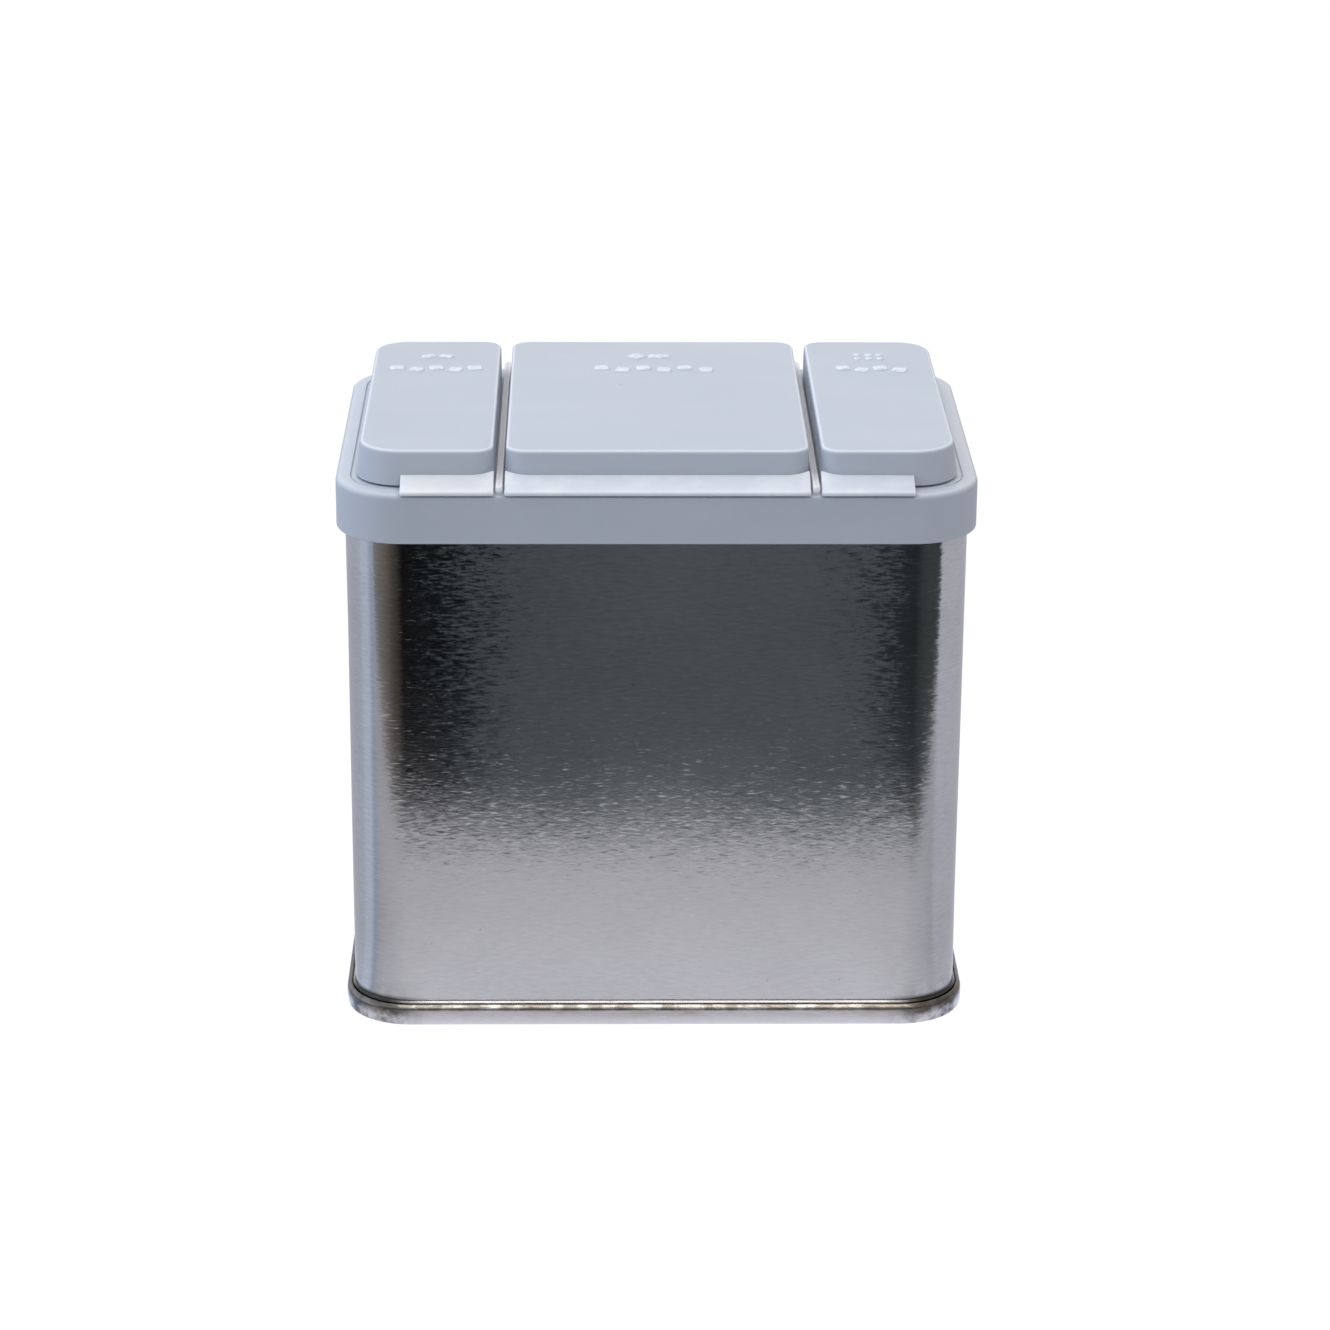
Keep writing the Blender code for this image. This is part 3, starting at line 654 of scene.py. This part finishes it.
def deck_openings():
    cutters = [opening(POUR_HOLE, [HOLE_CORNER] * 4, 8, 0.3 * MM),
               opening(SPOON_HOLE, [HOLE_CORNER] * 4, 8, 0.3 * MM)]
    middle_y = (SIFT_FIELD[2] + SIFT_FIELD[3]) / 2
    for column in (-1, 0, 1):
        for row in range(-2, 3):
            x, y = SMALL_CENTRE + column * SIFT_PITCH, middle_y + row * SIFT_PITCH
            plan = (x - SIFT_RADIUS, x + SIFT_RADIUS, y - SIFT_RADIUS, y + SIFT_RADIUS)
            cutters.append(opening(plan, [SIFT_RADIUS] * 4, 6, 0.2 * MM))
    return cutters


def edge_notches():
    """Room for the hinge leaves' barrels in front and for the thumb lips at the back."""
    notches = []
    for word in LIPS:
        low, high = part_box(f"{word}_hinge_leaf")
        notch = bmesh.new()
        bmesh.ops.create_cone(notch, cap_ends=True, segments=32, radius1=NOTCH_RADIUS,
                              radius2=NOTCH_RADIUS, depth=high[0] - low[0] + 2 * GAP)
        notches.append(turned(notch, math.pi / 2, "Y", ((low[0] + high[0]) / 2, HINGE_Y, HINGE_Z)))
    section = [(-0.1 * MM, 0, RIM_TOP - 0.9 * MM), (0, 0, RIM_TOP - 0.7 * MM),
               (0.15 * MM, 0, RIM_TOP + 0.6 * MM)]
    for middle, half in LIPS.values():
        plan = (middle - half - 1.5 * MM, middle + half + 1.5 * MM,
                DEEP - 1.1 * MM, DEEP + 1.0 * MM)
        notches.append(loft(plan, [0.6 * MM] * 4, section, 5))
    return notches


def make_cap():
    ceiling = RIM_TOP - DECK
    plug = -(BODY_INSET + 3 * SHEET)
    section = [
        (-2.2 * MM, 0, RIM_TOP, 0), (0.0, 0, RIM_TOP, 0.75 * MM),
        (0.0, 0, SKIRT_BOTTOM, 0.3 * MM), (-SKIRT_WALL, 0, SKIRT_BOTTOM, 0.2 * MM),
        (-SKIRT_WALL, 0, ceiling, 0.3 * MM), (plug, 0, ceiling, 0.2 * MM),
        (plug, 0, PLUG_BOTTOM, 0.35 * MM), (plug - PLUG_WALL, 0, PLUG_BOTTOM, 0.3 * MM),
        (plug - PLUG_WALL, 0, ceiling, 0.3 * MM), (plug - 2 * PLUG_WALL, 0, ceiling, 0),
    ]
    cap = as_object("cap_body", loft(
        (-WIDE, WIDE, -DEEP, DEEP), [CAP_CORNER] * 4, rounded(section, 6), 18))
    combine(cap, land_groove(), "DIFFERENCE")
    combine(cap, join([divider_rib(x) for x in (-RIB_X, RIB_X)]), "UNION")
    combine(cap, join(deck_openings()), "DIFFERENCE")
    combine(cap, join(edge_notches()), "DIFFERENCE")
    settle(cap, CAP, "cap", "cap_frame")


def pad(x, y, width, depth, turn):
    """One raised mark with a rounded top."""
    plan = (-width / 2, width / 2, -depth / 2, depth / 2)
    top = FLAP_TOP + MARK_RISE
    section = [(0.22 * MM, 0, FLAP_TOP - 0.2 * MM, 0),
               (0.18 * MM, 0, FLAP_TOP - 0.01 * MM, 0.02 * MM),
               (-0.06 * MM, 0, top, 0.12 * MM), (-0.24 * MM, 0, top, 0)]
    mark = loft(plan, [0.28 * MM] * 4, rounded(section, 3, 0.01 * MM), 4)
    return turned(mark, math.radians(turn), "Z", (x, y, 0))


def mark_row(count, pitch, turn):
    """A row of plain blocks, staggered and turned one way and the other."""
    row = []
    for i in range(count):
        side = -1 if i % 2 else 1
        x = (i - (count - 1) / 2) * pitch
        row.append((x, MARK_ROW_Y + side * MARK_STAGGER, BLOCK_WIDTH, BLOCK_DEPTH, side * turn))
    return row


def marks(word):
    """Each flap's marks as (x, y, width, depth, turn in degrees), from the flap's middle."""
    if word == "pour":
        slants = [(side * 1.35 * MM, ICON_Y, 2.0 * MM, 1.2 * MM, -side * 20) for side in (-1, 1)]
        return slants + mark_row(5, 3.0 * MM, 12)
    if word == "spoon":
        bowl = (-2.6 * MM, ICON_Y, 2.0 * MM, 2.0 * MM, 45)
        handle = (0.9 * MM, ICON_Y, 3.2 * MM, 1.2 * MM, 0)
        return [bowl, handle] + mark_row(6, 3.2 * MM, 8)
    studs = [(x * 2 * STUD, ICON_Y + y * STUD, STUD, STUD, 0)
             for x in (-1, 0, 1) for y in (-1.1, 1.1)]
    return studs + mark_row(4, 2.9 * MM, 12)


def make_flap(word, plan, corners, draft, seal, seal_bottom):
    roof = FLAP_TOP - FLAP_ROOF
    section = [
        (-1.4 * MM, 0, FLAP_TOP, 0), (0.0, 0, FLAP_TOP, 0.55 * MM),
        (0.0, 1, FLAP_BASE, 0.15 * MM), (-FLAP_WALL, 1, FLAP_BASE, 0.15 * MM),
        (-FLAP_WALL, 0, roof, 0.4 * MM), (-FLAP_WALL - 1.0 * MM, 0, roof, 0),
    ]
    flap = as_object(f"{word}_lid", loft(plan, corners, rounded(section, 6), 12, draft))
    top = roof + 0.1 * MM
    ring = [(0, 0, seal_bottom, 0.15 * MM), (0, 0, top, 0), (-SEAL_WALL, 0, top, 0),
            (-SEAL_WALL, 0, seal_bottom, 0.15 * MM)]
    ring = rounded(ring, 3, closed=True)
    combine(flap, loft(seal, [HOLE_CORNER] * 4, ring, 8, closed=True), "UNION")
    middle, half = LIPS[word]
    lip_top = FLAP_BASE + LIP_RISE
    lip_plan = (middle - half, middle + half, FLAP_REAR - 0.6 * MM, DEEP + 0.35 * MM)
    lip = [(-0.3 * MM, 0, lip_top, 0), (0, 0, lip_top, 0.25 * MM),
           (0, 0, FLAP_BASE, 0.2 * MM), (-0.3 * MM, 0, FLAP_BASE, 0)]
    lip_corners = [0.35 * MM, 0.35 * MM, 0.45 * MM, 0.45 * MM]
    combine(flap, loft(lip_plan, lip_corners, rounded(lip, 4, 0.01 * MM), 5), "UNION")
    pads = [pad(middle + x, *mark) for x, *mark in marks(word)]
    combine(flap, join(pads), "UNION")
    settle(flap, CAP, f"{word}_lid", f"{word}_flap")


def leaf_section(hinge, along, up, end):
    """The leaf's outline in y and z: a half barrel on the hinge line and a thin ramp up to end."""
    steps = 14
    slope = math.atan2(along.y, along.x)
    points = []
    for i in range(steps + 1):
        angle = slope + math.pi / 2 + math.pi * i / steps
        points.append(hinge + Vector((math.cos(angle), math.sin(angle))) * LEAF_BARREL)
    points.append(hinge + along * 0.5 * MM - up * LEAF_BARREL * 0.75)
    points.append(hinge + along * 0.9 * MM - up * LEAF_THICK * 0.5)
    points.append(end - up * LEAF_THICK * 0.5)
    points.append(end + up * LEAF_THICK * 0.5)
    points.append(hinge + along * 1.0 * MM + up * LEAF_THICK * 0.52)
    points.append(hinge + along * 0.55 * MM + up * LEAF_BARREL * 0.82)
    return points


def leaf_stations(left, right):
    """Where along x the leaf's rings stand, and how far each is drawn in to round its ends."""
    inner = right - left - 2 * LEAF_EDGE
    count = max(6, round((right - left) / (1.5 * MM)))
    near = LEAF_EDGE * 0.3
    stations = [(left, LEAF_EDGE), (left + near, near), (left + LEAF_EDGE, 0.0)]
    stations += [(left + LEAF_EDGE + inner * k / count, 0.0) for k in range(1, count)]
    stations += [(right - LEAF_EDGE, 0.0), (right - near, near), (right, LEAF_EDGE)]
    return stations


def make_leaf(word):
    """A thin ramp with a rounded lip on the hinge line, running up under the flap's wall, and
    further back where the flap's corners turn away."""
    low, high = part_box(f"{word}_hinge_leaf")
    hinge = Vector((HINGE_Y, HINGE_Z))
    end = Vector((high[1] + 0.5 * MM, high[2] + 0.05 * MM))
    along = (end - hinge).normalized()
    up = Vector((-along.y, along.x))
    section = leaf_section(hinge, along, up, end)
    bm = bmesh.new()
    rings = []
    for x, inset in leaf_stations(low[0], high[0]):
        back = 0.0
        for side, corner in FLAP_SIDES[word]:
            into = corner - abs(x - side)
            if into > 0:
                sag = corner - math.sqrt(max(0.0, corner ** 2 - into ** 2))
                back = max(back, min(sag, 0.9 * MM))
        ring = []
        for point in section:
            if (point - hinge).dot(along) > 2.0 * MM:
                point = point + along * back
            toward = hinge + along * max(0.0, (point - hinge).dot(along)) - point
            if toward.length > TINY:
                point = point + toward.normalized() * min(inset, toward.length * 0.9)
            ring.append(bm.verts.new((x, point.x, point.y)))
        rings.append(ring)
    skin(bm, rings)
    leaf = as_object(f"{word}_leaf", bm)
    settle(leaf, LEAF, f"{word}_lid", f"{word}_hinge_leaf")


def shrunk(plan, by):
    return (plan[0] + by, plan[1] - by, plan[2] + by, plan[3] - by)


def make_flaps():
    plug_seal = RIM_TOP - SEAL_DEPTH
    make_flap("pour", (-FLAP_OUTER, -SMALL_INNER, FLAP_FRONT, FLAP_REAR),
              (FRONT_CORNER, INNER_CORNER, INNER_CORNER, REAR_CORNER),
              (SIDE_DRAFT, RIB_DRAFT, HINGE_DRAFT, REAR_DRAFT),
              shrunk(POUR_HOLE, SEAL_SLIP), plug_seal)
    make_flap("spoon", (-SPOON_HALF, SPOON_HALF, FLAP_FRONT, FLAP_REAR), [INNER_CORNER] * 4,
              (RIB_DRAFT, RIB_DRAFT, HINGE_DRAFT, REAR_DRAFT),
              shrunk(SPOON_HOLE, SEAL_SLIP), plug_seal)
    make_flap("sift", (SMALL_INNER, FLAP_OUTER, FLAP_FRONT, FLAP_REAR),
              (INNER_CORNER, FRONT_CORNER, REAR_CORNER, INNER_CORNER),
              (RIB_DRAFT, SIDE_DRAFT, HINGE_DRAFT, REAR_DRAFT), SIFT_FIELD, FLAP_BASE)
    for word in LIPS:
        make_leaf(word)


# ---- stage, light and camera --------------------------------------------------------------------
CAMERA_PLACE = Vector((-8.95, -590.4, 263.6)) * MM
PITCH, YAW, ROLL = (math.radians(a) for a in (20.24, 1.04, 0.34))
FOCAL = 3.05383                                # focal length in frame widths
SENSOR = 36.0
FLOOR_HALF, CARD_HALF, CARD_RISE = 60, 4, 0.02 * MM

EYE_FROM_WALL = -CAMERA_PLACE.y - BODY_PLAN[3]     # from the camera to the tin's front wall
EYE_MIRRORED = EYE_FROM_WALL - BODY_PLAN[3]        # y of the camera's image behind that wall
TABLE_EDGE = DEEP + 72 * MM                    # how far in front of the middle the table ends
CORNER_FROM = 3.6                              # degrees off straight ahead where a corner starts


def flat_stage(name, half, z, material):
    mesh = bpy.data.meshes.new(name)
    places = [(-half, -half, z), (half, -half, z), (half, half, z), (-half, half, z)]
    mesh.from_pydata(places, [], [[0, 1, 2, 3]])
    mesh.materials.append(material)
    obj = bpy.data.objects.new(name, mesh)
    bpy.context.scene.collection.objects.link(obj)
    return obj


def stage_nodes(name):
    """A material with an empty node tree, and its output's surface socket."""
    material = bpy.data.materials.new(name)
    material.use_nodes = True
    material.node_tree.nodes.clear()
    t = Nodes(material.node_tree)
    return material, t, t.nodes.new("ShaderNodeOutputMaterial").inputs[0]


def pale_floor():
    """A matt surface that glows to the camera, as an over-exposed sweep does."""
    material, t, surface = stage_nodes("pale_floor")
    matt = t.add("ShaderNodeBsdfDiffuse", {"Color": (0.48, 0.485, 0.50, 1)})
    light = t.add("ShaderNodeEmission", {"Color": (1.04, 1.04, 1.04, 1)})
    seen = t.times(t.add("ShaderNodeLightPath", out="Is Camera Ray"), 0.97)
    t.fill(surface, t.add("ShaderNodeMixShader", {0: seen, 1: matt, 2: light}))
    return material


def table_glow():
    """What the bright metal mirrors: a white table that ends a little way in front of the tin, and
    the dark room beyond it, wider to the right than to the left. The tin's flat front wall and its
    two round corners each mirror their own part of the card."""
    material, t, surface = stage_nodes("table_glow")
    where = t.add("ShaderNodeNewGeometry", out="Position")
    x, y = t.split(where, "X"), t.split(where, "Y")
    to_front = t.times(y, -1.0)
    to_side = t.math("ABSOLUTE", x)
    ahead = t.math("SUBTRACT", to_front, CORNER_Y)
    on_right = t.math("GREATER_THAN", x, 0.0)

    # degrees off straight ahead, seen from the centre of the left and of the right round corner
    to_degrees = math.degrees(1)
    left_of = t.times(t.math("ADD", x, CORNER_X), -1.0)
    left = t.times(t.math("ARCTAN2", left_of, ahead), to_degrees)
    right = t.times(t.math("ARCTAN2", t.math("SUBTRACT", x, CORNER_X), ahead), to_degrees)
    off = t.math("MAXIMUM", left, right)

    # where on the flat wall a point is mirrored towards the camera, in mm from the middle
    fan = t.math("DIVIDE", t.math("SUBTRACT", x, CAMERA_PLACE.x),
                 t.math("SUBTRACT", EYE_MIRRORED, y))
    face = t.times(t.math("ADD", t.times(fan, EYE_FROM_WALL), CAMERA_PLACE.x), 1000.0)

    room_left = t.ramp(left, 0, 180, [
        (0, .003, .004, .005), (7, .006), (13, .045, .040, .034), (24, .082, .070, .060),
        (36, .155, .135, .117), (50, .20, .19, .18), (60, .23), (65, .38, .42, .50),
        (180, .38, .42, .50)])
    room_right = t.ramp(right, 0, 180, [
        (0, .022, .030, .033), (15, .022, .028, .030), (26, .045, .052, .053),
        (40, .055, .062, .064), (60.5, .048, .054, .058), (65.5, .20, .21, .24),
        (180, .30, .31, .35)])
    room_flat = t.ramp(face, -45, 45, [
        (-37.5, .003, .004, .005), (-31.2, .003, .004, .006), (-27.7, .035, .045, .047),
        (-24, .080, .094, .103), (-15, .088, .100, .110), (0, .098, .114, .122),
        (26, .096, .110, .118), (32, .080, .098, .103), (34, .045, .055, .060),
        (37.5, .022, .030, .033)])
    room = t.mix(on_right, room_left, room_right)
    room = t.mix(t.math("GREATER_THAN", off, CORNER_FROM), room_flat, room)

    table_left = t.ramp(left, -10, 180, [
        (-8, 1.0, 1.0, 1.08), (0, .94, .945, 1.01), (58, .80, .81, .88), (68, .64, .74, .92),
        (78, .97, 1.09, 1.32), (90, .96, 1.07, 1.28), (100, .84, .92, 1.06),
        (112, .84, .88, 1.0), (180, .80, .82, .95)])
    table_right = t.ramp(right, -10, 180, [
        (-8, 1.0, 1.0, 1.08), (0, .93, .935, 1.0), (60, .80, .82, .89), (70, .92, .94, 1.06),
        (100, .90, .92, 1.02), (180, .80, .81, .88)])
    outwards = t.math("MAXIMUM", t.math("SUBTRACT", to_front, DEEP),
                      t.math("SUBTRACT", to_side, WIDE))
    outwards = t.math("MAXIMUM", outwards, t.math("SUBTRACT", y, DEEP))
    level_flat = t.ramp(outwards, 0.0, 0.6, [
        (0.0, 1.12, 1.14, 1.22), (0.004, .78, .78, .79), (0.010, .76, .76, .77), (0.028, .71),
        (0.055, .66), (0.10, .60), (0.24, .53), (0.42, .16, .16, .17), (0.6, .10, .10, .11)])
    level_corner = t.ramp(outwards, 0.0, 0.6, [
        (0.0, 1.12, 1.14, 1.22), (0.004, .70, .70, .71), (0.010, .64, .64, .65), (0.028, .60),
        (0.10, .61), (0.24, .65), (0.42, .26, .26, .27), (0.6, .10, .10, .11)])
    level = t.mix(t.ramp(off, 0, 180, [(6, 0), (62, 1)]), level_flat, level_corner)
    table = t.mix(1.0, t.mix(on_right, table_left, table_right), level, "MULTIPLY")

    # the table's edge: a little further out at both ends, nearer again round the right corner
    ends = t.ramp(face, -45, 45, [(-37, 1), (-28, .6), (-12, 0), (24, 0), (34, .7)])
    nearer = t.times(t.ramp(right, 0, 180, [(6, 0), (22, 1)]), on_right)
    past = t.math("SUBTRACT", t.math("SUBTRACT", to_front, TABLE_EDGE), t.times(ends, 8.5 * MM))
    past = t.math("ADD", past, t.times(nearer, 14 * MM))
    beyond = t.ramp(past, -0.02, 0.02, [(-0.009, 0), (0.009, 1)])
    inside_left = t.ramp(left, 0, 180, [(60, 1), (66, 0)])
    inside_right = t.ramp(right, 0, 180, [(64, 1), (67, 0)])
    dark = t.times(beyond, t.times(inside_left, inside_right))
    t.fill(surface, t.add("ShaderNodeEmission", {"Color": t.mix(dark, table, room)}))
    return material


def make_stage():
    """The floor, and the card just above it that only reflections see."""
    flat_stage("floor", FLOOR_HALF, 0.0, pale_floor())
    card = flat_stage("table_glow", CARD_HALF, CARD_RISE, table_glow())
    card.visible_camera = False
    card.visible_diffuse = False
    card.visible_shadow = False
    card.visible_transmission = False


def world_light():
    """A white studio, dim and warm in front below the lights, cool on the left."""
    world = bpy.data.worlds.new("studio")
    bpy.context.scene.world = world
    world.use_nodes = True
    t = Nodes(world.node_tree)
    place = t.add("ShaderNodeTexCoord", out="Generated")
    front = t.ramp(t.split(place, "Y"), -1, 1, [(-0.82, 1), (-0.4, 0)])
    room = t.ramp(t.split(place, "Z"), -1, 1, [
        (0.04, .05), (0.14, .28, .27, .255), (0.26, .31, .30, .285), (0.55, 1)])
    sides = t.ramp(t.split(place, "X"), -1, 1, [
        (-0.95, 1.42, 1.70, 2.10), (-0.5, 1.10, 1.17, 1.29), (-0.2, 1), (0.3, 1),
        (0.6, .80, .80, .82), (0.95, .56, .57, .60)])
    around = t.mix(front, (1.0, 1.0, 1.0, 1), room)
    background = t.nodes["Background"]
    t.fill(background.inputs["Color"], t.mix(1.0, around, sides, "MULTIPLY"))
    background.inputs["Strength"].default_value = 0.785


def area_light(name, place, size, power, tint):
    """A rectangular light aimed at the tin's middle."""
    light = bpy.data.lights.new(name, "AREA")
    light.shape = "RECTANGLE"
    light.size, light.size_y = size
    light.energy = power
    light.color = tint
    obj = bpy.data.objects.new(name, light)
    obj.location = place
    aim = Vector((0, 0, 0.05)) - Vector(place)
    obj.rotation_euler = aim.to_track_quat("-Z", "Y").to_euler()
    bpy.context.scene.collection.objects.link(obj)


def make_camera():
    ahead = Vector((math.sin(YAW), math.cos(YAW), 0))
    forward = ahead * math.cos(PITCH) - Vector((0, 0, 1)) * math.sin(PITCH)
    right = Vector((math.cos(YAW), -math.sin(YAW), 0))
    above = right.cross(forward)
    turned_right = right * math.cos(ROLL) + above * math.sin(ROLL)
    turned_up = above * math.cos(ROLL) - right * math.sin(ROLL)
    lens = bpy.data.cameras.new("camera")
    lens.sensor_width = SENSOR
    lens.lens = FOCAL * SENSOR
    lens.clip_start, lens.clip_end = 0.01, 100
    camera = bpy.data.objects.new("camera", lens)
    facing = Matrix((turned_right, turned_up, -forward)).transposed().to_4x4()
    camera.matrix_world = Matrix.Translation(CAMERA_PLACE) @ facing
    bpy.context.scene.collection.objects.link(camera)
    bpy.context.scene.camera = camera


# ---- everything, in order -----------------------------------------------------------------------
make_body()
make_bottom()
make_cap()
make_flaps()
make_stage()
world_light()
area_light("overhead", (0.0, 0.25, 1.1), (1.2, 1.0), 2.2, (1.0, 1.0, 1.0))
area_light("front_top", (0.0, -0.42, 0.95), (0.7, 0.25), 1.65, (1.0, 0.94, 0.87))
make_camera()
bpy.context.scene.view_settings.view_transform = "Standard"
